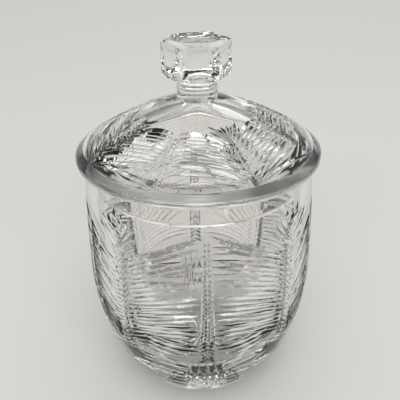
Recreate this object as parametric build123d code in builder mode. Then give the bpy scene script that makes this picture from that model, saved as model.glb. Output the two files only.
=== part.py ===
from build123d import *
import os
from math import cos, degrees, radians, sin, tan

# Cut-glass biscuit jar: a heavy barrel-shaped jar, a domed lid with a ring that drops into the
# mouth, and a six-sided finial on the lid. Millimetres. +Z is up, the origin is the centre of the
# base, and -Y is the front, where two palms of the cut pattern meet at a plain band.

# ---- jar ----
jar_height = 144.0
belly_radius = 65.0
belly_height = 78.0
heel_inset = 4.8
heel_height = 40.0
rim_inset = 3.0
base_radius = 39.0
rim_wall = 6.0
belly_wall = 6.0
heel_wall = 7.2
floor_thickness = 16.0
floor_radius = 30.0
rim_bevel = 1.2
base_bevel = 1.0

# ---- lid ----
lid_overhang = 1.7
lid_band = 3.4
lid_bevel = 1.0
lid_foot_bevel = 1.8
lid_rise = 31.0
lid_wall = 6.0
dome_bulge = 2.2
ring_clearance = 1.0
ring_wall = 4.5
ring_depth = 15.0
ring_bevel = 1.0

# ---- finial ----
foot_radius = 10.8
foot_height = 6.7
groove_depth = 1.1
collar_height = 0.5
flat_count = 6
flat_across = 31.6
head_low = 13.4
finial_height = 31.0
crown_radius = 13.8
crown_drop = 1.6
thumb_depth = 0.9
thumb_radius = 34.0
finial_turn = 7.5

# ---- cutting wheel, and the leaves that it cuts ----
wheel_radius = 40.0
wheel_half_angle = 52.0
wheel_arc = 50.0
cut_depth = 1.3
leaf_reach = 9.4
leaf_lean = 45.0
fan_lean = 26.0
fan_side = 2

# ---- cut pattern: palms with a shallow band between each two, and a star under the jar ----
palm_count = 4
band_half_width = 3.0
band_depth = 0.9
jar_turn = 3.0
jar_palm_foot = 56.0
jar_palm_length = 61.0
jar_leaf_rows = 5
jar_band_foot = 54.0
jar_band_length = 80.0
barb_count = 8
barb_low = 51.0
barb_high = 112.0
barb_low_rise = 7.0
barb_high_rise = 23.0
barb_start = 2.0
barb_end = 42.0
heel_leaf_count = 3
heel_leaf_low = 25.0
heel_leaf_high = 46.0
heel_leaf_rise = 5.5
heel_leaf_start = 10.0
heel_leaf_end = 37.0
lid_turn = -19.0
lid_palm_foot = 6.2
lid_palm_length = 20.5
lid_leaf_rows = 2
border_foot = 6.7
border_middle = 8.7
web_end = 19.3
roof_foot = 29.8
roof_end = 39.8
lid_band_foot = 6.7
lid_band_length = 33.0
star_points = 16
star_middle = 16.0

# ---- sizes that follow ----
rim_radius = belly_radius - rim_inset
heel_radius = belly_radius - heel_inset
mouth_radius = rim_radius - rim_wall
lid_radius = belly_radius + lid_overhang
ring_radius = mouth_radius - ring_clearance
finial_seat = jar_height + lid_rise
corner_radius = flat_across / 2 / cos(radians(180 / flat_count))
palm_step = 360 / palm_count
wheel_slope = tan(radians(wheel_half_angle))
half_step = palm_step / 2


def barrel_side(top_radius, side_radius, low_radius, bottom_radius, bottom_height):
    """Half section of the barrel or of its hollow, from its bottom up to the rim."""
    shoulder = TangentArc((side_radius, belly_height), (top_radius, jar_height), tangent=(0, 1))
    heel = TangentArc((side_radius, belly_height), (low_radius, heel_height), tangent=(0, -1))
    TangentArc(heel @ 1, (bottom_radius, bottom_height), tangent=heel % 1)


def close_at_axis(side):
    """Joins the ends of a half section by way of the axis."""
    Polyline(side @ 0, (0, (side @ 0).Y), (0, (side @ 1).Y), side @ 1)


def leaf_place(side, foot, lean, turn):
    """Where the wheel stands to cut one leaf in the surface that a side makes when revolved.

    The leaf starts on the side, at the distance of its foot along it, and points up it, leaning
    to one hand. Its middle is its reach away, and the whole is turned about the axis.
    """
    share = (foot + leaf_reach * cos(radians(lean))) / side.length
    middle = side @ share
    upward = side % share
    outward = Vector(0, 1, 0).cross(upward)
    aim = upward * cos(radians(lean)) + outward.cross(upward) * sin(radians(lean))
    hub = Plane(
        origin=middle + outward * (wheel_radius - cut_depth),
        x_dir=outward,
        z_dir=outward.cross(aim),
    )
    swing = degrees(leaf_reach * sin(radians(lean)) / middle.X)
    return Rot(0, 0, turn + swing) * hub.location


def palm_leaves(side, foot, length, rows, turn):
    """Places of the leaves of all palms: a fan at the top of each rib, and pairs beside it."""
    places = []
    for palm in range(palm_count):
        rib_turn = turn + palm * palm_step
        for ray in range(-fan_side, fan_side + 1):
            places.append(leaf_place(side, foot + length, ray * fan_lean, rib_turn))
        for row in range(rows):
            for lean in (-leaf_lean, leaf_lean):
                places.append(leaf_place(side, foot + length * row / rows, lean, rib_turn))
    return places


def spot(side, turn, distance, lift):
    """A point at a turn and a distance up the side, lifted off the surface."""
    share = distance / side.length
    outward = Vector(0, 1, 0).cross(side % share)
    return (side @ share + outward * lift).rotate(Axis.Z, turn)


def long_leaf(side, start, end, middle_distance=None):
    """The solid that cuts a leaf between two places, each a turn and a distance up the side.

    It follows an arc that lies in the surface halfway, and has risen out of it at both ends.
    """
    middle_turn = (start[0] + end[0]) / 2
    middle_distance = middle_distance or (start[1] + end[1]) / 2
    tip = spot(side, *start, cut_depth)
    with BuildPart() as cutter:
        with BuildLine() as path:
            ThreePointArc(
                tip, spot(side, middle_turn, middle_distance, 0), spot(side, *end, cut_depth)
            )
        spine = path.wire()
        flank = (spine % 0).cross(tip)
        with BuildSketch(Plane(origin=tip, x_dir=flank, z_dir=spine % 0)):
            with BuildLine():
                half_width = cut_depth * wheel_slope
                Polyline(
                    (half_width, 0), (0, cut_depth), (-half_width, 0), (0, -cut_depth), close=True
                )
            make_face()
        sweep(path=spine)
    return cutter.part


def jar_barbs(side, hand):
    """Long leaves from one rib up to the band on one hand of it, the flattest at the foot."""
    leaves = []
    for row in range(barb_count):
        share = row / (barb_count - 1)
        foot = barb_low + (barb_high - barb_low) * share
        rise = barb_low_rise + (barb_high_rise - barb_low_rise) * share
        leaves.append(
            long_leaf(side, (hand * barb_start, foot), (hand * barb_end, foot + rise))
        )
    return leaves


def heel_leaves(side, hand):
    """Long leaves beside the foot of one band, on one hand of it."""
    leaves = []
    for row in range(heel_leaf_count):
        share = row / (heel_leaf_count - 1)
        foot = heel_leaf_low + (heel_leaf_high - heel_leaf_low) * share
        start = (hand * heel_leaf_start, foot)
        leaves.append(long_leaf(side, start, (hand * heel_leaf_end, foot + heel_leaf_rise)))
    return leaves


def lid_leaves(side, hand):
    """Border, web and roof leaves of one palm of the lid, on one hand of its rib."""
    root = (0, border_foot)
    return [
        long_leaf(side, root, (hand * half_step, border_foot), border_middle),
        long_leaf(side, root, (hand * barb_end, web_end)),
        long_leaf(side, (hand * barb_start, roof_foot), (hand * half_step, roof_end)),
    ]


def star_leaves():
    """Places of the leaves of the star under the base, which point away from its centre."""
    ray = Plane(
        origin=(star_middle, 0, cut_depth - wheel_radius), x_dir=(0, 0, -1), z_dir=(0, -1, 0)
    )
    return [Rot(0, 0, 360 * point / star_points) * ray.location for point in range(star_points)]


def turned_copies(turn):
    """One place for each palm or band, turned about the axis."""
    return [Rot(0, 0, turn + copy * palm_step) for copy in range(palm_count)]


def groove(side, foot, length, half_width, depth):
    """The solid that cuts a V-shaped groove up a stretch of the side."""
    stretch = side.trim(foot / side.length, (foot + length) / side.length)
    section = Plane(origin=stretch @ 0, x_dir=(0, 1, 0), z_dir=stretch % 0)
    with BuildPart() as cutter:
        with BuildSketch(section):
            with BuildLine():
                Polyline((half_width, 0), (0, depth), (-half_width, 0), (0, -depth), close=True)
            make_face()
        sweep(path=stretch)
    return cutter.part


# ---- the part of a V-edged cutting wheel that meets the glass ----
with BuildPart() as wheel:
    lip = 2 * cut_depth
    with BuildSketch(Plane.XZ.rotated((0, 0, 180 - wheel_arc / 2))):
        with BuildLine():
            Polyline(
                (wheel_radius, 0),
                (wheel_radius - lip, lip * wheel_slope),
                (wheel_radius - lip, -lip * wheel_slope),
                close=True,
            )
        make_face()
    revolve(axis=Axis.Z, revolution_arc=wheel_arc)

# ---- the sides that carry the cut pattern, each from its bottom up ----
with BuildLine(Plane.XZ) as jar_line:
    barrel_side(rim_radius, belly_radius, heel_radius, base_radius, 0)
jar_side = jar_line.wire()

dome_foot = (lid_radius, jar_height + lid_band)
dome_top = (foot_radius, finial_seat)
with BuildLine(Plane.XZ) as dome_line:
    SagittaArc(dome_foot, dome_top, -dome_bulge)
dome_side = dome_line.wire()

# ---- jar: barrel with a thick floor and an open mouth ----
with BuildPart() as jar:
    with BuildSketch(Plane.XZ):
        with BuildLine() as outside:
            barrel_side(rim_radius, belly_radius, heel_radius, base_radius, 0)
            close_at_axis(outside.line)
        make_face()
        with BuildLine() as inside:
            barrel_side(
                mouth_radius,
                belly_radius - belly_wall,
                heel_radius - heel_wall,
                floor_radius,
                floor_thickness,
            )
            close_at_axis(inside.line)
        make_face(mode=Mode.SUBTRACT)
    revolve(axis=Axis.Z)
    base, floor, rim = jar.faces().filter_by(GeomType.PLANE).sort_by(Axis.Z)
    chamfer(base.edges(), base_bevel)
    chamfer(rim.edges(), rim_bevel)

    # the cutting: ribs and their leaves, the bands, and the star under the base
    rib = groove(jar_side, jar_palm_foot, jar_palm_length, cut_depth * wheel_slope, cut_depth)
    band = groove(jar_side, jar_band_foot, jar_band_length, band_half_width, band_depth)
    palm_turn = jar_turn + half_step
    with Locations(
        *palm_leaves(jar_side, jar_palm_foot, jar_palm_length, jar_leaf_rows, palm_turn),
        *star_leaves(),
    ):
        add(wheel.part, mode=Mode.SUBTRACT)
    with Locations(*turned_copies(palm_turn)):
        add([rib, *jar_barbs(jar_side, -1), *jar_barbs(jar_side, 1)], mode=Mode.SUBTRACT)
    with Locations(*turned_copies(jar_turn)):
        add([band, *heel_leaves(jar_side, -1), *heel_leaves(jar_side, 1)], mode=Mode.SUBTRACT)
jar.part.label = "jar"

# ---- lid: dome with a plain edge, and a ring that drops into the mouth ----
hollow_foot = (ring_radius - ring_wall, jar_height + lid_band)
hollow_top = (0, finial_seat - lid_wall)

with BuildPart() as lid:
    with BuildSketch(Plane.XZ):
        with BuildLine():
            Polyline(
                (0, jar_height),
                (lid_radius - lid_foot_bevel, jar_height),
                (lid_radius, jar_height + lid_foot_bevel),
                dome_foot,
            )
            SagittaArc(dome_foot, dome_top, -dome_bulge)
            Polyline(dome_top, (0, finial_seat), (0, jar_height))
        make_face()
        with Locations((ring_radius - ring_wall, jar_height)):
            Rectangle(ring_wall, ring_depth, align=(Align.MIN, Align.MAX))
        with BuildLine():
            Polyline(hollow_top, (0, jar_height), (hollow_foot[0], jar_height), hollow_foot)
            SagittaArc(hollow_top, hollow_foot, dome_bulge)
        make_face(mode=Mode.SUBTRACT)
    revolve(axis=Axis.Z)
    edge_band = lid.faces().filter_by(GeomType.CYLINDER).sort_by(SortBy.RADIUS)[-1]
    chamfer(edge_band.edges().filter_by(GeomType.CIRCLE).sort_by(Axis.Z)[-1], lid_bevel)
    chamfer(lid.faces().filter_by(GeomType.PLANE).sort_by(Axis.Z)[0].edges(), ring_bevel)

    # the cutting: ribs with their leaves, and bands
    rib = groove(dome_side, lid_palm_foot, lid_palm_length, cut_depth * wheel_slope, cut_depth)
    band = groove(dome_side, lid_band_foot, lid_band_length, band_half_width, band_depth)
    palm_turn = lid_turn + half_step
    with Locations(
        *palm_leaves(dome_side, lid_palm_foot, lid_palm_length, lid_leaf_rows, palm_turn)
    ):
        add(wheel.part, mode=Mode.SUBTRACT)
    with Locations(*turned_copies(palm_turn)):
        add([rib, *lid_leaves(dome_side, -1), *lid_leaves(dome_side, 1)], mode=Mode.SUBTRACT)
    with Locations(*turned_copies(lid_turn)):
        add(band, mode=Mode.SUBTRACT)
lid.part.label = "lid"

# ---- finial: turned foot, groove and collar under a six-sided head with thumbprints ----
head_top = finial_seat + finial_height
groove_low = finial_seat + foot_height
groove_high = groove_low + 2 * groove_depth
collar_top = groove_high + collar_height
flats_low = finial_seat + head_low
flats_middle = (flats_low + head_top - crown_drop) / 2
flat_turn = finial_turn + 180 / flat_count

with BuildPart() as lid_knob:
    with BuildSketch(Plane.XZ):
        with BuildLine():
            Polyline(
                (0, finial_seat),
                (foot_radius, finial_seat),
                (foot_radius, groove_low),
                (foot_radius - groove_depth, groove_low + groove_depth),
                (foot_radius, groove_high),
                (foot_radius, collar_top),
                (corner_radius, flats_low),
                (corner_radius, head_top - crown_drop),
                (crown_radius, head_top),
                (0, head_top),
                close=True,
            )
        make_face()
    revolve(axis=Axis.Z)
    with BuildSketch(Plane.XY.offset(finial_seat)):
        RegularPolygon(corner_radius, flat_count, rotation=finial_turn)
    extrude(amount=finial_height, mode=Mode.INTERSECT)
    with Locations((0, 0, flats_middle)):
        with PolarLocations(
            flat_across / 2 + thumb_radius - thumb_depth, flat_count, start_angle=flat_turn
        ):
            Sphere(thumb_radius, mode=Mode.SUBTRACT)
lid_knob.part.label = "lid_knob"

# ---- STEP files, one for each piece ----
os.makedirs("parts", exist_ok=True)
for piece in (jar, lid, lid_knob):
    export_step(piece.part, f"parts/{piece.part.label}.step")
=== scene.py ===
import random
from math import atan2, ceil, cos, hypot, pi, radians, sin, tan

import bpy
from mathutils import Matrix, Vector


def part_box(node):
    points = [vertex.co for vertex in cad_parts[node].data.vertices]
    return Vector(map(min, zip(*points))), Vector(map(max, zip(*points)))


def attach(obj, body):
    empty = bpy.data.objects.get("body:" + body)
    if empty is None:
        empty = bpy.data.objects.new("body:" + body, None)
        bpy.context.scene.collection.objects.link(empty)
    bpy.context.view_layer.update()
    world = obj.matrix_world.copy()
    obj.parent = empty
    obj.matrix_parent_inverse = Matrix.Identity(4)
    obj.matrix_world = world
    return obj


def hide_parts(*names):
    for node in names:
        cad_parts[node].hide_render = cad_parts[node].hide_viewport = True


# Cut-glass biscuit jar. Shapes are worked out in millimetres, with +Z up and the origin at the
# centre of the base, and are written to meshes in metres. A turn is an angle in degrees about Z,
# from the front (-Y) towards the right (+X).

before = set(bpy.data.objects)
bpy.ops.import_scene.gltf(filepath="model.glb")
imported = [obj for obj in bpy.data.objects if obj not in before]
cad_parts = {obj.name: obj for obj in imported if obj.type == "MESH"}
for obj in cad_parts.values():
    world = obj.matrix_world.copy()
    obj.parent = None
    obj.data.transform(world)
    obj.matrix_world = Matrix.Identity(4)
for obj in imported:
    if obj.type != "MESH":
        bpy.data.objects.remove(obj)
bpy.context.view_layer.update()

MM = 0.001
SEED = 7


# ---------------------------------------------------------------- sizes, in millimetres
def top_of(node):
    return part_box(node)[1][2] / MM


def bottom_of(node):
    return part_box(node)[0][2] / MM


JAR_HEIGHT = top_of("jar")
BELLY_RADIUS = 65.0
BELLY_HEIGHT = 78.0
HEEL_RADIUS = 60.2
HEEL_HEIGHT = 40.0
RIM_RADIUS = 62.0
BASE_RADIUS = 39.0
RIM_WALL = 6.0
BELLY_WALL = 6.0
HEEL_WALL = 7.2
FLOOR_THICKNESS = 16.0
FLOOR_RADIUS = 30.0
RIM_ROUND = 1.6
BASE_ROUND = 2.0
FLOOR_ROUND = 9.0

LID_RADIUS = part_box("lid")[1][0] / MM
LID_BAND = 3.4
LID_ROUND = 1.2
LID_FOOT_ROUND = 2.0
DOME_BULGE = 2.2
LID_WALL = 6.0
RING_OUTER = 55.0
RING_INNER = 50.5
RING_LOW = bottom_of("lid")
RING_ROUND = 1.2
SEAT_GAP = 0.12

FINIAL_SEAT = bottom_of("lid_knob")
FINIAL_TOP = top_of("lid_knob")
FINIAL_SINK = 1.0
FINIAL_TURN = 7.5
FOOT_RADIUS = 10.8
FOOT_HEIGHT = 6.7
FOOT_ROUND = 0.8
GROOVE_DEPTH = 1.1
GROOVE_ROUND = 0.6
COLLAR_HEIGHT = 0.5
COLLAR_ROUND = 1.5
FLAT_COUNT = 6
FLAT_ACROSS = 31.6
FLAT_SPARE = 2.0
HEAD_LOW = 13.4
HEAD_ROUND = 0.8
CROWN_RADIUS = 13.8
CROWN_DROP = 1.6
CROWN_ROUND = 2.0
THUMB_DEPTH = 1.3
THUMB_RADIUS = 32.0

# How finely the curves and the turned pieces are divided.
BELLY_STEPS = 26
HEEL_STEPS = 14
BOWL_STEPS = 22
DOME_STEPS = 48
HOLLOW_STEPS = 40
CORNER_STEPS = 5
TURNS = 256
HEAD_TURNS = 192
BALL_TURNS = 96
BALL_ROWS = 48


# ---------------------------------------------------------------- plane curves
STRAIGHT = 1e-6
CORNER_LIMIT = 0.9


def arc_points(start, heading, end, count):
    """Points after start on the arc that leaves it along heading and reaches end, and the heading there."""
    along = Vector(heading).normalized()
    across = Vector((-along.y, along.x))
    chord = Vector(end) - Vector(start)
    sweep = 2 * atan2(chord.dot(across), chord.dot(along))
    if abs(sweep) < STRAIGHT:
        return [Vector(start) + chord * (k + 1) / count for k in range(count)], along
    radius = chord.length_squared / (2 * chord.dot(across))
    points = []
    for k in range(count):
        angle = sweep * (k + 1) / count
        points.append(Vector(start) + radius * (sin(angle) * along + (1 - cos(angle)) * across))
    return points, cos(sweep) * along + sin(sweep) * across


def bulged(start, end, bulge, count):
    """Points from start to end on an arc that stands bulge to the right of the chord."""
    chord = Vector(end) - Vector(start)
    half_turn = 2 * atan2(2 * bulge, chord.length)
    heading = Matrix.Rotation(-half_turn, 2) @ chord
    return [Vector(start)] + arc_points(start, heading, end, count)[0]


def corner_curve(before, corner, after, size):
    """A small curve in place of a corner. It takes up no more than its share of either side."""
    back, ahead = before - corner, after - corner
    start = corner + back.normalized() * min(size, back.length * CORNER_LIMIT)
    end = corner + ahead.normalized() * min(size, ahead.length * CORNER_LIMIT)
    curve = []
    for k in range(CORNER_STEPS + 1):
        t = k / CORNER_STEPS
        curve.append(start * (1 - t) ** 2 + corner * 2 * t * (1 - t) + end * t * t)
    return curve


def rounded(points, sizes):
    """The points with each named corner replaced by a small curve: sizes is {index: size}."""
    out = []
    for index, corner in enumerate(points):
        if index in sizes:
            after = points[(index + 1) % len(points)]
            out += corner_curve(points[index - 1], corner, after, sizes[index])
        else:
            out.append(corner)
    return out


def barrel_side(top_radius, side_radius, low_radius, bottom_radius, bottom_height, top_height):
    """Half section of the barrel or of its hollow, from the bottom up."""
    belly = (side_radius, BELLY_HEIGHT)
    upper = arc_points(belly, (0, 1), (top_radius, top_height), BELLY_STEPS)[0]
    heel, heading = arc_points(belly, (0, -1), (low_radius, HEEL_HEIGHT), HEEL_STEPS)
    bowl = arc_points(heel[-1], heading, (bottom_radius, bottom_height), BOWL_STEPS)[0]
    return (heel + bowl)[::-1] + [Vector(belly)] + upper


# ---------------------------------------------------------------- surfaces that carry the cutting
BASE_EDGE = 0.5
FOOT_CLEAR = 2.0
ON_AXIS = 1e-6


def lookup(side, height):
    """Radius and outward slope of a side, given bottom up, at a height."""
    for low, high in zip(side, side[1:]):
        if height <= high.y or high is side[-1]:
            share = (height - low.y) / (high.y - low.y)
            step = high - low
            normal = Vector((step.y, -step.x)).normalized()
            return low.x + share * step.x, normal


class Barrel:
    """The jar's outside. A place is (distance round the belly from the front, height)."""

    def __init__(self):
        self.side = barrel_side(
            RIM_RADIUS, BELLY_RADIUS, HEEL_RADIUS, BASE_RADIUS, 0, JAR_HEIGHT - SEAT_GAP
        )

    def at(self, u, v):
        """The point at a place, and the direction straight out of the surface there."""
        angle = u / BELLY_RADIUS
        radius, normal = lookup(self.side, v)
        outward = Vector((sin(angle), -cos(angle), 0))
        return outward * radius + Vector((0, 0, v)), outward * normal.x + Vector((0, 0, normal.y))

    def sunk(self, point):
        """How far a point lies inside the surface, or None if it isn't on the side or the base."""
        reach = hypot(point.x, point.y)
        if point.z < BASE_ROUND + BASE_EDGE:
            return point.z if reach < BASE_RADIUS - 2 * BASE_ROUND else None
        if point.z > JAR_HEIGHT - 2 * RIM_ROUND:
            return None
        return lookup(self.side, point.z)[0] - reach


class Dome:
    """The lid's upper side. A place is (x, y) seen from above."""

    def __init__(self):
        rim = Vector((LID_RADIUS, JAR_HEIGHT + LID_BAND))
        self.side = bulged(rim, Vector((FOOT_RADIUS, FINIAL_SEAT)), DOME_BULGE, DOME_STEPS)

    def at(self, u, v):
        """The point at a place, and the direction straight out of the surface there."""
        reach = hypot(u, v)
        outward = Vector((u, v, 0)) / max(reach, ON_AXIS)
        for outer, inner in zip(self.side, self.side[1:]):
            if reach >= inner.x or inner is self.side[-1]:
                step = inner - outer
                height = outer.y + (reach - outer.x) * step.y / step.x
                normal = Vector((step.y, -step.x)).normalized()
                break
        return Vector((u, v, height)), outward * normal.x + Vector((0, 0, normal.y))

    def sunk(self, point):
        """How far a point lies below the surface, or None if it isn't on the dome."""
        if not FOOT_RADIUS + FOOT_CLEAR < hypot(point.x, point.y) < LID_RADIUS - 2 * LID_ROUND:
            return None
        return self.at(point.x, point.y)[0].z - point.z


class Underside:
    """The flat base, seen from below. A place is (x, y)."""

    def at(self, u, v):
        return Vector((u, v, 0)), Vector((0, 0, -1))


def polar(reach, turn):
    """A place at a distance from the axis, at a turn."""
    return Vector((reach * sin(radians(turn)), -reach * cos(radians(turn))))


# ---------------------------------------------------------------- meshes
def new_object(name, points, faces):
    mesh = bpy.data.meshes.new(name)
    mesh.from_pydata([tuple(p * MM) for p in points], [], faces)
    mesh.validate()
    thing = bpy.data.objects.new(name, mesh)
    bpy.context.scene.collection.objects.link(thing)
    return thing


def turned(name, section, count=TURNS):
    """Solid of revolution. The section starts and ends on the axis and runs anticlockwise."""
    points = [Vector((0, 0, section[0].y)), Vector((0, 0, section[-1].y))]
    rings = section[1:-1]
    for place in rings:
        for k in range(count):
            angle = 2 * pi * k / count
            points.append(Vector((place.x * sin(angle), -place.x * cos(angle), place.y)))
    faces = []
    last = 2 + (len(rings) - 1) * count
    for k in range(count):
        after = (k + 1) % count
        faces.append((0, 2 + after, 2 + k))
        faces.append((1, last + k, last + after))
        for ring in range(len(rings) - 1):
            low, high = 2 + ring * count, 2 + (ring + 1) * count
            faces.append((low + k, low + after, high + after, high + k))
    return new_object(name, points, faces)


def prism(name, radius, count, low, high, start):
    """Upright prism with its corners at a radius, the first at the start turn."""
    points = []
    for height in (low, high):
        for k in range(count):
            corner = polar(radius, start + 360 * k / count)
            points.append(Vector((corner.x, corner.y, height)))
    faces = [tuple(range(count))[::-1], tuple(range(count, 2 * count))]
    for k in range(count):
        after = (k + 1) % count
        faces.append((k, after, count + after, count + k))
    return new_object(name, points, faces)


def ball(name, centre, radius):
    section = [Vector((0, -radius))]
    for k in range(1, BALL_ROWS):
        angle = -pi / 2 + pi * k / BALL_ROWS
        section.append(Vector((radius * cos(angle), radius * sin(angle))))
    section.append(Vector((0, radius)))
    thing = turned(name, section, BALL_TURNS)
    thing.data.transform(Matrix.Translation(centre * MM))
    return thing


def combine(body, others, operation):
    """Boolean of body with each of the others, which are used up."""
    group = bpy.data.collections.new("others")
    bpy.context.scene.collection.children.link(group)
    for other in others:
        bpy.context.scene.collection.objects.unlink(other)
        group.objects.link(other)
    step = body.modifiers.new("combine", "BOOLEAN")
    step.solver = "MANIFOLD"
    step.operation = operation
    step.operand_type = "COLLECTION"
    step.collection = group
    graph = bpy.context.evaluated_depsgraph_get()
    mesh = bpy.data.meshes.new_from_object(body.evaluated_get(graph))
    body.modifiers.clear()
    old = body.data
    body.data = mesh
    bpy.data.meshes.remove(old)
    for other in others:
        bpy.data.meshes.remove(other.data)
    bpy.data.collections.remove(group)


# ---------------------------------------------------------------- wheel cuts
CUT_LIFT = 0.7
CUT_ANGLE = 54.0
CUT_DRAG = 2
CUT_STEP = 2.2
CUT_LEAST_STEPS = 6
RUN_OUT = 0.04
FINE_ANGLE = 51.0
LONG_DRAG = 5
MIDWAY = 0.5


def cut(surface, start, end, depth, peak=MIDWAY, bow=(0, 0), angle=CUT_ANGLE, drag=CUT_DRAG):
    """Cutter for one V-shaped cut in a surface, deepest at its peak and run out at both ends.

    Start and end are places on the surface. The bow moves the middle of the cut sideways. The
    angle is between one side of the V and the line straight out of the surface. The further the
    wheel is dragged, the longer the cut keeps its depth.
    """
    start, end, bow = Vector(start), Vector(end), Vector(bow)
    stations = max(CUT_LEAST_STEPS, ceil((end - start).length / CUT_STEP))
    spread = tan(radians(angle))
    middles = []
    for k in range(stations + 1):
        t = k / stations
        middles.append(surface.at(*(start.lerp(end, t) + bow * 4 * t * (1 - t))))
    points = []
    for k, (middle, normal) in enumerate(middles):
        t = k / stations
        away = (peak - t) / peak if t < peak else (t - peak) / (1 - peak)
        deep = depth * (1 - away**drag) - RUN_OUT
        ahead = middles[min(k + 1, stations)][0] - middles[max(k - 1, 0)][0]
        across = normal.cross(ahead).normalized() * (deep + CUT_LIFT) * spread
        crest = middle + normal * CUT_LIFT
        points += [middle - normal * deep, crest + across, crest - across]
    faces = [(2, 1, 0), (3 * stations, 3 * stations + 1, 3 * stations + 2)]
    for k in range(stations):
        for a, b in ((0, 1), (1, 2), (2, 0)):
            low, high = 3 * k, 3 * k + 3
            faces.append((low + a, low + b, high + b, high + a))
    return new_object("cut", points, faces)


def aimed(start, lean, reach):
    """The place that is reached from a start, leaning a number of degrees from straight up."""
    return (start[0] + reach * sin(radians(lean)), start[1] + reach * cos(radians(lean)))


# ---------------------------------------------------------------- the jar's pattern
# Four palms stand round the jar, with a spear-shaped column between each two. Heights are from the
# base, and distances are round the belly, from the middle of the palm or the column. A spread is
# the least and the most of a random share.
PALMS = 4
PALM_TURN = 360 / PALMS
JAR_TURN = 3.0
QUARTER = 2 * pi * BELLY_RADIUS / PALMS
PALM_FOOT = 47.0
PALM_HEAD = 111.5
RIB_PAST_FOOT = 4
RIB_PAST_HEAD = 2
RIB_DEPTH = 0.95
RIB_PEAK = 0.4

FAN_STEP = 14.0
FAN_RAYS = 4
FAN_START = 0.8
FAN_REACH = 23.5
FAN_SHRINK = 0.05
FAN_SPREAD = (0.94, 1.03)
FAN_DEPTH = 1.25
FAN_PEAK = 0.55

LEAF_STEP = 3.7
LEAF_ASIDE = 0.4
LEAF_REACH = 11.5
LEAF_SPREAD = (0.93, 1.07)
LEAF_LEAN = 45.0
LEAF_DEPTH = 1.15
LEAF_PEAK = 0.4

BARB_HIGH = 106.0
BARB_LOW = 45.0
BARB_ROWS = 22
BARB_ASIDE = 2.0
BARB_BOW = 1.5
BARB_WANDER = 0.4
BARB_DEPTHS = (0.8, 0.95, 1.1)
BARB_PEAKS = (0.4, 0.6)
ROOF_RISE = 23.0
FOOT_RISE = 7.0
ROOF_GAP = 0.6
ROOF_DEPTH = 1.3
ROOF_PEAK = 0.55
BOLD_EVERY = 3
BOLD_DEPTH = 1.2
BOLD_HIGH_REACH = 0.72
BOLD_LOW_REACH = 0.97

COLUMN_TOP = 129.5
COLUMN_FOOT = 48.5
COLUMN_HALF = 4.2
COLUMN_TIP = 1.2
COLUMN_EDGE_DEPTH = 0.8
SPINE_PAST_FOOT = 2
SPINE_DEPTH = 0.5
CHEVRON_STEP = 2.9
CHEVRON_ANGLE = 38.0
CHEVRON_ASIDE = 0.2
CHEVRON_DROP = 0.8
CHEVRON_DEPTH = 1.3
CHEVRON_DRAG = 4

HEEL_HIGH = 40.5
HEEL_STEP = 5.0
HEEL_ROWS = 6
HEEL_NEAR = 11.5
HEEL_FAR = 42.0
HEEL_RISE = 5.5
HEEL_DEPTHS = (1.4, 1.1)
HEEL_PEAK = 0.45
UPRIGHT_DEPTH = 1.4
INNER_UPRIGHT = ((4.8, 43), (5.4, 9))
OUTER_UPRIGHT = ((9.8, 40), (11.0, 10))
MIDDLE_UPRIGHT_HIGH = 44
MIDDLE_UPRIGHT_LOW = 8
MIDDLE_UPRIGHT_DEPTH = 1.5
DIAMOND_SIDE_COUNT = 2
DIAMOND_STEP = 5
DIAMOND_SHIFT = 6
DIAMOND_LOW = 12
DIAMOND_LEAN = 24
DIAMOND_REACH = 27
DIAMOND_DEPTH = 1.2
DIAMOND_DRAG = 4
ARCH_PAST_EDGE = 0.6
ARCH_DROP = 2.5
ARCH_RISE = 2.4
ARCH_DEPTH = 0.7


def jar_fan(surface, middle, rng):
    """The rays that spread from the head of a palm."""
    cuts = []
    for ray in range(-FAN_RAYS, FAN_RAYS + 1):
        lean = ray * FAN_STEP
        reach = FAN_REACH * (1 - FAN_SHRINK * abs(ray)) * rng.uniform(*FAN_SPREAD)
        start = aimed((middle, PALM_HEAD), lean, FAN_START)
        cuts.append(cut(surface, start, aimed(start, lean, reach), FAN_DEPTH, FAN_PEAK))
    return cuts


def jar_leaves(surface, middle, hand, rng):
    """The short leaves up one side of a rib."""
    cuts = []
    for row in range(int((PALM_HEAD - PALM_FOOT) / LEAF_STEP)):
        start = (middle + hand * LEAF_ASIDE, PALM_FOOT + row * LEAF_STEP)
        tip = aimed(start, hand * LEAF_LEAN, LEAF_REACH * rng.uniform(*LEAF_SPREAD))
        cuts.append(cut(surface, start, tip, LEAF_DEPTH, LEAF_PEAK))
    return cuts


def jar_barbs(surface, middle, hand, rng):
    """The long cuts from a rib to the column beside it, from the roof down."""
    cuts = []
    edge = QUARTER / 2 - COLUMN_HALF
    for row in range(BARB_ROWS):
        share = 1 - row / (BARB_ROWS - 1)
        foot = BARB_LOW + (BARB_HIGH - BARB_LOW) * share
        rise = FOOT_RISE + (ROOF_RISE - FOOT_RISE) * share
        start = (middle + hand * BARB_ASIDE, foot)
        bow = (0, BARB_BOW + BARB_BOW * (1 - share))
        if row == 0:
            tip = (middle + hand * (QUARTER / 2 - ROOF_GAP), foot + rise)
            cuts.append(cut(surface, start, tip, ROOF_DEPTH, ROOF_PEAK))
        elif row % BOLD_EVERY == 0:
            reach = BOLD_HIGH_REACH if share > MIDWAY else BOLD_LOW_REACH
            tip = (middle + hand * edge * reach, foot + rise * reach)
            cuts.append(cut(surface, start, tip, BOLD_DEPTH, MIDWAY, bow))
        else:
            tip = (middle + hand * edge, foot + rise + rng.uniform(-BARB_WANDER, BARB_WANDER))
            deep = rng.choice(BARB_DEPTHS)
            peak = rng.uniform(*BARB_PEAKS)
            cuts.append(cut(surface, start, tip, deep, peak, bow, FINE_ANGLE, LONG_DRAG))
    return cuts


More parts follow.
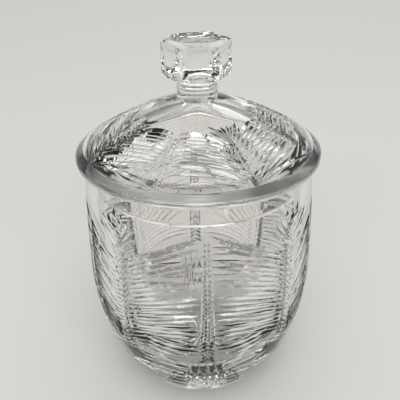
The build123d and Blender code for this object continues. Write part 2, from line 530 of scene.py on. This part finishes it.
def jar_palm(surface, middle, rng):
    """One palm, whose rib stands at a distance round the belly."""
    foot = (middle, PALM_FOOT - RIB_PAST_FOOT)
    head = (middle, PALM_HEAD + RIB_PAST_HEAD)
    cuts = [cut(surface, foot, head, RIB_DEPTH, RIB_PEAK)]
    cuts += jar_fan(surface, middle, rng)
    for hand in (-1, 1):
        cuts += jar_leaves(surface, middle, hand, rng)
        cuts += jar_barbs(surface, middle, hand, rng)
    return cuts


def column_side(surface, middle, hand):
    """One edge of a column, and the chevrons between it and the spine."""
    edge = (middle + hand * COLUMN_HALF, COLUMN_FOOT)
    tip = (middle + hand * COLUMN_TIP, COLUMN_TOP)
    cuts = [cut(surface, edge, tip, COLUMN_EDGE_DEPTH, angle=CHEVRON_ANGLE)]
    rows = int((COLUMN_TOP - COLUMN_FOOT) / CHEVRON_STEP)
    for row in range(rows):
        high = COLUMN_FOOT + row * CHEVRON_STEP
        half = COLUMN_HALF + (COLUMN_TIP - COLUMN_HALF) * row / rows
        start = (middle + hand * CHEVRON_ASIDE, high)
        tip = (middle + hand * half, high - CHEVRON_DROP * half)
        cuts.append(
            cut(surface, start, tip, CHEVRON_DEPTH, angle=CHEVRON_ANGLE, drag=CHEVRON_DRAG)
        )
    return cuts


def heel_side(surface, middle, hand):
    """The leaves that lie on one side of a column's foot, and the uprights beside it."""
    cuts = []
    for row in range(HEEL_ROWS):
        low = HEEL_HIGH - row * HEEL_STEP
        start = (middle + hand * HEEL_NEAR, low)
        tip = (middle + hand * HEEL_FAR, low + HEEL_RISE)
        cuts.append(cut(surface, start, tip, HEEL_DEPTHS[row % len(HEEL_DEPTHS)], HEEL_PEAK))
    for high, low in (INNER_UPRIGHT, OUTER_UPRIGHT):
        start = (middle + hand * high[0], high[1])
        tip = (middle + hand * low[0], low[1])
        cuts.append(cut(surface, start, tip, UPRIGHT_DEPTH))
    return cuts


def heel_diamonds(surface, middle):
    """Two sets of slanting cuts that cross below a column."""
    cuts = []
    for hand in (-1, 1):
        for step in range(-DIAMOND_SIDE_COUNT, DIAMOND_SIDE_COUNT + 1):
            low = (middle + hand * (DIAMOND_STEP * step - DIAMOND_SHIFT), DIAMOND_LOW)
            high = aimed(low, hand * DIAMOND_LEAN, DIAMOND_REACH)
            cuts.append(cut(surface, low, high, DIAMOND_DEPTH, drag=DIAMOND_DRAG))
    return cuts


def jar_column(surface, middle):
    """The spear between two palms, with its spine and chevrons, and the cuts below it."""
    foot = (middle, COLUMN_FOOT - SPINE_PAST_FOOT)
    cuts = [cut(surface, foot, (middle, COLUMN_TOP), SPINE_DEPTH, angle=CHEVRON_ANGLE)]
    for hand in (-1, 1):
        cuts += column_side(surface, middle, hand)
        cuts += heel_side(surface, middle, hand)
    high, low = (middle, MIDDLE_UPRIGHT_HIGH), (middle, MIDDLE_UPRIGHT_LOW)
    cuts.append(cut(surface, high, low, MIDDLE_UPRIGHT_DEPTH))
    cuts += heel_diamonds(surface, middle)
    arch = COLUMN_HALF + ARCH_PAST_EDGE
    low = COLUMN_FOOT - ARCH_DROP
    left, right = (middle - arch, low), (middle + arch, low)
    cuts.append(cut(surface, left, right, ARCH_DEPTH, MIDWAY, (0, ARCH_RISE)))
    return cuts


STAR_POINTS = 16
STAR_START = 1.5
STAR_REACH = 25.0
STAR_DEPTH = 1.1


def base_star(surface):
    cuts = []
    for point in range(STAR_POINTS):
        turn = 360 * point / STAR_POINTS
        cuts.append(cut(surface, polar(STAR_START, turn), polar(STAR_REACH, turn), STAR_DEPTH))
    return cuts


# ---------------------------------------------------------------- the lid's pattern
# The same palms and columns, seen from above, with their roots at the edge of the lid. Each reach
# is from the axis, except a leaf's, which is its length. A lean is from the line to the axis.
LID_TURN = -19.0
LID_ROOT = 62.0
LID_HEAD = 33.0
LID_BAND_HALF = 1.7
LID_RIB_DEPTH = 1.0
LID_RIB_PEAK = 0.4

BORDER_OUTER_DEPTH = 1.2
BORDER_OUTER_BOW = 3.8
BORDER_INNER_DEPTH = 0.9
BORDER_INNER_BOW = 0.4
SWEEP_LOW_REACH = 56.0
SWEEP_LOW_DEPTH = 0.75
SWEEP_HIGH_REACH = 51.0
SWEEP_HIGH_DEPTH = 1.35

WEB_STEP = 2.6
WEB_LEAN = 57.0
WEB_FIRST = 5.5
WEB_LAST = 6.0
WEB_GAP = 1.3
WEB_DEPTHS = (0.95, 0.5, 0.55)
WEB_SPREAD = (0.9, 1.1)

LID_ROOF_REACH = 42
LID_ROOF_TURN = 3
LID_ROOF_DEPTH = 1.3
LID_ROOF_BOW = -2.2

LID_LEAVES = 7
LID_LEAF_FIRST = 58
LID_LEAF_STEP = 3.1
LID_LEAF_REACH = 16.5
LID_LEAF_SPREAD = (0.93, 1.05)
LID_LEAF_LEAN = 47
LID_LEAF_STRAIGHTENS = 3
LID_LEAF_DEPTH = 1.1
LID_LEAF_PEAK = 0.45
LID_FAN_LEANS = (11, 26)
LID_FAN_START = 4
LID_FAN_REACH = 9.0
LID_FAN_DEPTH = 1.0

LADDER_STEP = 2.1
LADDER_FIRST = 1
LADDER_RUNG = 1.2
LADDER_RUNG_DEPTH = 0.5
LADDER_EDGE_DEPTH = 0.7
LADDER_EDGE_ROOT = 0.6
LADDER_EDGE_HEAD = 0.9


def inward_at(turn):
    return -polar(LID_ROOT, turn).normalized()


def left_of(direction):
    return Vector((-direction.y, direction.x))


def leaning(turn, hand, lean):
    """The direction that leans from the line to the axis, towards a hand."""
    inward = inward_at(turn)
    return inward * cos(radians(lean)) + left_of(inward) * -hand * sin(radians(lean))


def lid_border(surface, turn, hand):
    """Two long leaves that make an eye at the edge of the lid, and two that sweep up above it."""
    root = polar(LID_ROOT, turn)
    column = turn + hand * PALM_TURN / 2
    far = polar(LID_ROOT, column)
    outer = (root + far).normalized()
    cuts = [
        cut(surface, root, far, BORDER_OUTER_DEPTH, MIDWAY, outer * BORDER_OUTER_BOW),
        cut(surface, root, far, BORDER_INNER_DEPTH, MIDWAY, outer * BORDER_INNER_BOW),
    ]
    side = left_of(inward_at(turn)) * -hand * LID_BAND_HALF
    cuts.append(cut(surface, root, polar(SWEEP_LOW_REACH, column) - side, SWEEP_LOW_DEPTH))
    cuts.append(cut(surface, root, polar(SWEEP_HIGH_REACH, column) - side, SWEEP_HIGH_DEPTH))
    return cuts


def lid_web(surface, turn, hand, rng):
    """Parallel cuts from the rib to the column."""
    cuts = []
    web = leaning(turn, hand, WEB_LEAN)
    run = cos(radians(WEB_LEAN)) + sin(radians(WEB_LEAN))
    rows = ceil((LID_ROOT - WEB_FIRST - LID_HEAD - WEB_LAST) / WEB_STEP)
    for row in range(rows):
        reach = LID_ROOT - WEB_FIRST - row * WEB_STEP
        start = polar(reach, turn)
        tip = start + web * (reach / run - LID_BAND_HALF * WEB_GAP)
        deep = WEB_DEPTHS[row % len(WEB_DEPTHS)] * rng.uniform(*WEB_SPREAD)
        cuts.append(cut(surface, start + web, tip, deep, angle=FINE_ANGLE, drag=LONG_DRAG))
    return cuts


def lid_roof(surface, turn, hand):
    """One bold leaf that curves from the rib to the head of the column."""
    column = turn + hand * PALM_TURN / 2
    outer = (polar(LID_ROOT, turn) + polar(LID_ROOT, column)).normalized()
    start = polar(LID_ROOF_REACH, turn + hand * LID_ROOF_TURN)
    return cut(
        surface, start, polar(LID_HEAD, column), LID_ROOF_DEPTH, MIDWAY, outer * LID_ROOF_BOW
    )


def lid_leaves(surface, turn, hand, rng):
    """The leaves up one side of a rib, and the two that finish its head."""
    cuts = []
    for leaf in range(LID_LEAVES):
        start = polar(LID_LEAF_FIRST - LID_LEAF_STEP * leaf, turn)
        lean = LID_LEAF_LEAN - LID_LEAF_STRAIGHTENS * leaf
        reach = LID_LEAF_REACH * rng.uniform(*LID_LEAF_SPREAD)
        tip = start + leaning(turn, hand, lean) * reach
        cuts.append(cut(surface, start, tip, LID_LEAF_DEPTH, LID_LEAF_PEAK))
    for lean in LID_FAN_LEANS:
        start = polar(LID_HEAD + LID_FAN_START, turn)
        tip = start + leaning(turn, hand, lean) * LID_FAN_REACH
        cuts.append(cut(surface, start, tip, LID_FAN_DEPTH))
    return cuts


def lid_palm(surface, turn, rng):
    """One palm of the lid, whose rib lies at a turn."""
    root, head = polar(LID_ROOT, turn), polar(LID_HEAD, turn)
    cuts = [cut(surface, root, head, LID_RIB_DEPTH, LID_RIB_PEAK)]
    for hand in (-1, 1):
        cuts += lid_border(surface, turn, hand)
        cuts += lid_web(surface, turn, hand, rng)
        cuts.append(lid_roof(surface, turn, hand))
        cuts += lid_leaves(surface, turn, hand, rng)
    return cuts


def lid_column(surface, turn):
    """The ladder between two palms of the lid."""
    cuts = []
    root, head = polar(LID_ROOT, turn), polar(LID_HEAD, turn)
    inward = inward_at(turn)
    for hand in (-1, 1):
        side = left_of(inward) * hand * LID_BAND_HALF
        foot, top = root + side * LADDER_EDGE_ROOT, head + side * LADDER_EDGE_HEAD
        cuts.append(cut(surface, foot, top, LADDER_EDGE_DEPTH))
        for rung in range(int((LID_ROOT - LID_HEAD) / LADDER_STEP)):
            start = root + inward * (rung * LADDER_STEP + LADDER_FIRST)
            tip = start + side * LADDER_RUNG + inward * LADDER_RUNG
            cuts.append(cut(surface, start, tip, LADDER_RUNG_DEPTH))
    return cuts


# ---------------------------------------------------------------- pieces
def make_jar(rng):
    surface = Barrel()
    outer = surface.side
    inner = barrel_side(
        RIM_RADIUS - RIM_WALL,
        BELLY_RADIUS - BELLY_WALL,
        HEEL_RADIUS - HEEL_WALL,
        FLOOR_RADIUS,
        FLOOR_THICKNESS,
        JAR_HEIGHT - SEAT_GAP,
    )[::-1]
    section = [Vector((0, 0))] + outer + inner + [Vector((0, FLOOR_THICKNESS))]
    top = len(outer)
    section = rounded(
        section, {1: BASE_ROUND, top: RIM_ROUND, top + 1: RIM_ROUND, len(section) - 2: FLOOR_ROUND}
    )
    body = turned("jar_glass", section)
    cuts = []
    for k in range(PALMS):
        middle = (JAR_TURN / PALM_TURN + k) * QUARTER
        cuts += jar_palm(surface, middle + QUARTER / 2, rng)
        cuts += jar_column(surface, middle)
    combine(body, cuts + base_star(Underside()), "DIFFERENCE")
    return body


def make_head():
    """The finial: a turned piece with six flats and a thumbprint in each."""
    corner = FLAT_ACROSS / 2 / cos(pi / FLAT_COUNT)
    low = FINIAL_SEAT + FOOT_HEIGHT
    high = low + 2 * GROOVE_DEPTH
    collar = high + COLLAR_HEIGHT
    skirt = FINIAL_SEAT + HEAD_LOW
    shoulder = FINIAL_TOP - CROWN_DROP
    foot = FINIAL_SEAT - FINIAL_SINK
    section = [
        (0, foot),
        (FOOT_RADIUS, foot),
        (FOOT_RADIUS, low),
        (FOOT_RADIUS - GROOVE_DEPTH, low + GROOVE_DEPTH),
        (FOOT_RADIUS, high),
        (FOOT_RADIUS, collar),
        (corner, skirt),
        (corner, shoulder),
        (CROWN_RADIUS, FINIAL_TOP),
        (0, FINIAL_TOP),
    ]
    corners = {
        2: FOOT_ROUND,
        4: GROOVE_ROUND,
        5: COLLAR_ROUND,
        6: HEAD_ROUND,
        7: HEAD_ROUND,
        8: CROWN_ROUND,
    }
    head = turned("finial", rounded([Vector(p) for p in section], corners), HEAD_TURNS)
    first = FINIAL_TURN + 90
    low, high = FINIAL_SEAT - FLAT_SPARE, FINIAL_TOP + FLAT_SPARE
    combine(head, [prism("flats", corner, FLAT_COUNT, low, high, first)], "INTERSECT")
    thumbs = []
    for k in range(FLAT_COUNT):
        turn = first + (k + 0.5) * 360 / FLAT_COUNT
        place = polar(FLAT_ACROSS / 2 + THUMB_RADIUS - THUMB_DEPTH, turn)
        centre = Vector((place.x, place.y, (skirt + shoulder) / 2))
        thumbs.append(ball("thumb", centre, THUMB_RADIUS))
    combine(head, thumbs, "DIFFERENCE")
    return head


def make_lid(rng):
    surface = Dome()
    seat = JAR_HEIGHT
    spring = Vector((RING_INNER, seat + LID_BAND))
    crown = Vector((0, FINIAL_SEAT - LID_WALL))
    section = bulged(spring, crown, DOME_BULGE, HOLLOW_STEPS)[::-1] + [
        Vector((RING_INNER, RING_LOW)),
        Vector((RING_OUTER, RING_LOW)),
        Vector((RING_OUTER, seat)),
        Vector((LID_RADIUS, seat)),
    ]
    count = len(section)
    section += surface.side + [Vector((0, FINIAL_SEAT))]
    corners = {
        count - 4: RING_ROUND,
        count - 3: RING_ROUND,
        count - 1: LID_FOOT_ROUND,
        count: LID_ROUND,
    }
    body = turned("lid_glass", rounded(section, corners))
    cuts = []
    for k in range(PALMS):
        cuts += lid_palm(surface, LID_TURN + PALM_TURN * (k + 0.5), rng)
        cuts += lid_column(surface, LID_TURN + PALM_TURN * k)
    combine(body, cuts, "DIFFERENCE")
    combine(body, [make_head()], "UNION")
    return body


# ---------------------------------------------------------------- materials
# Tint, roughness, size of the grain (a noise scale) and its depth in millimetres.
POLISHED = ((0.96, 0.953, 0.937), 0.0, 60, 0.012)
WHEEL_CUT = ((0.97, 0.963, 0.947), 0.04, 900, 0.012)
GROUND = ((0.96, 0.953, 0.937), 0.16, 2400, 0.02)
CRYSTAL_IOR = 1.54
GRAIN_DETAIL = 2.0

SMOOTH_SLACK = 0.03
CUT_LIMIT = 2.4
SEAT_FACING = -0.9
CREASE = 24.0


def crystal(name, tint, roughness, grain, depth):
    """Clear crystal, whose surface carries a faint grain."""
    material = bpy.data.materials.new(name)
    material.use_nodes = True
    nodes, links = material.node_tree.nodes, material.node_tree.links
    shader = nodes["Principled BSDF"]
    shader.inputs["Transmission Weight"].default_value = 1.0
    shader.inputs["Roughness"].default_value = roughness
    shader.inputs["IOR"].default_value = CRYSTAL_IOR
    shader.inputs["Base Color"].default_value = (*tint, 1)
    coordinates = nodes.new("ShaderNodeTexCoord")
    noise = nodes.new("ShaderNodeTexNoise")
    noise.inputs["Scale"].default_value = grain
    noise.inputs["Detail"].default_value = GRAIN_DETAIL
    bump = nodes.new("ShaderNodeBump")
    bump.inputs["Strength"].default_value = 1.0
    bump.inputs["Distance"].default_value = depth * MM
    links.new(coordinates.outputs["Object"], noise.inputs["Vector"])
    links.new(noise.outputs["Fac"], bump.inputs["Height"])
    links.new(bump.outputs["Normal"], shader.inputs["Normal"])
    return material


def plain(name, colour, roughness):
    material = bpy.data.materials.new(name)
    material.use_nodes = True
    shader = material.node_tree.nodes["Principled BSDF"]
    shader.inputs["Base Color"].default_value = (*colour, 1)
    shader.inputs["Roughness"].default_value = roughness
    return material


def finish(thing, finishes, surface):
    """Smooth shading that keeps the cut edges sharp, and the three finishes of the glass.

    What lies below the surface that carries the cutting is cut. The underside that seats on the
    rim is ground.
    """
    thing.data.materials.clear()
    for material in finishes:
        thing.data.materials.append(material)
    for face in thing.data.polygons:
        point = face.center / MM
        sunk = surface.sunk(point)
        if sunk is not None and SMOOTH_SLACK < sunk < CUT_LIMIT:
            face.material_index = 1
        elif face.normal.z < SEAT_FACING and abs(point.z - JAR_HEIGHT) < SEAT_GAP:
            face.material_index = 2
    thing.data.shade_smooth()
    thing.data.set_sharp_from_angle(angle=radians(CREASE))


# ---------------------------------------------------------------- stage, in metres
FLOOR_DROP = 0.0003
FLOOR_HALF = 4.0
FLOOR_COLOUR = (0.66, 0.655, 0.64)
FLOOR_ROUGHNESS = 0.7

# World colours, and the height above the horizon (0 to 1) at which each is reached.
BACKDROP, BACKDROP_AT = (0.6, 0.595, 0.58), 0.12
FLAGS, FLAGS_AT = (0.1, 0.1, 0.1), 0.22
ZENITH, ZENITH_AT = (1.0, 1.0, 0.99), 0.75

LIGHT_TARGET = (0, 0, 0.1)
CAMERA_PLACE = (0.0005, -0.2925, 0.2779)
CAMERA_TILT = 60.5
CAMERA_ROLL = -0.97
CAMERA_LENS = 52.15
CAMERA_SENSOR = 36.0
GLASS_BOUNCES = 24


def make_floor():
    half, low = FLOOR_HALF / MM, -FLOOR_DROP / MM
    corners = ((-half, -half), (half, -half), (half, half), (-half, half))
    floor = new_object("floor", [Vector((x, y, low)) for x, y in corners], [(0, 1, 2, 3)])
    floor.data.materials.append(plain("floor_pale", FLOOR_COLOUR, FLOOR_ROUGHNESS))


def area_light(name, place, width, height, power):
    """A rectangular studio light that faces the jar. The power is in watts."""
    data = bpy.data.lights.new(name, "AREA")
    data.shape = "RECTANGLE"
    data.size, data.size_y = width, height
    data.energy = power
    light = bpy.data.objects.new(name, data)
    bpy.context.scene.collection.objects.link(light)
    light.location = place
    aim = Vector(LIGHT_TARGET) - Vector(place)
    light.rotation_euler = aim.to_track_quat("-Z", "Y").to_euler()


def make_world():
    """A studio: pale at the horizon, a ring of dark flags above it, and bright overhead."""
    world = bpy.data.worlds.new("studio")
    bpy.context.scene.world = world
    world.use_nodes = True
    nodes, links = world.node_tree.nodes, world.node_tree.links
    background = nodes["Background"]
    coordinates = nodes.new("ShaderNodeTexCoord")
    split = nodes.new("ShaderNodeSeparateXYZ")
    ramp = nodes.new("ShaderNodeValToRGB")
    stops = ramp.color_ramp.elements
    stops[0].position, stops[0].color = BACKDROP_AT, (*BACKDROP, 1)
    stops[1].position, stops[1].color = ZENITH_AT, (*ZENITH, 1)
    stops.new(FLAGS_AT).color = (*FLAGS, 1)
    links.new(coordinates.outputs["Generated"], split.inputs["Vector"])
    links.new(split.outputs["Z"], ramp.inputs["Fac"])
    links.new(ramp.outputs["Color"], background.inputs["Color"])


def make_camera():
    data = bpy.data.cameras.new("camera")
    data.sensor_width = CAMERA_SENSOR
    data.lens = CAMERA_LENS
    camera = bpy.data.objects.new("camera", data)
    bpy.context.scene.collection.objects.link(camera)
    tilt = Matrix.Rotation(radians(CAMERA_TILT), 4, "X")
    roll = Matrix.Rotation(radians(CAMERA_ROLL), 4, "Z")
    camera.matrix_world = Matrix.Translation(CAMERA_PLACE) @ (tilt @ roll)
    bpy.context.scene.camera = camera


# ---------------------------------------------------------------- the model
rng = random.Random(SEED)
jar = make_jar(rng)
finishes = (
    crystal("crystal_polished", *POLISHED),
    crystal("crystal_cut", *WHEEL_CUT),
    crystal("crystal_ground", *GROUND),
)
finish(jar, finishes, Barrel())
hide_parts("jar")
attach(jar, "jar")

lid = make_lid(rng)
finish(lid, finishes, Dome())
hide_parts("lid", "lid_knob")
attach(lid, "lid")

make_floor()
make_world()
area_light("key", (0.0, -1.6, 1.3), 3.0, 0.3, 16)
area_light("fill", (0.12, -0.66, 1.5), 0.6, 0.6, 3)
area_light("back", (0.2, 1.7, 1.2), 1.5, 0.6, 2)
make_camera()

scene = bpy.context.scene
scene.view_settings.view_transform = "Standard"
scene.cycles.transmission_bounces = GLASS_BOUNCES
scene.cycles.max_bounces = GLASS_BOUNCES
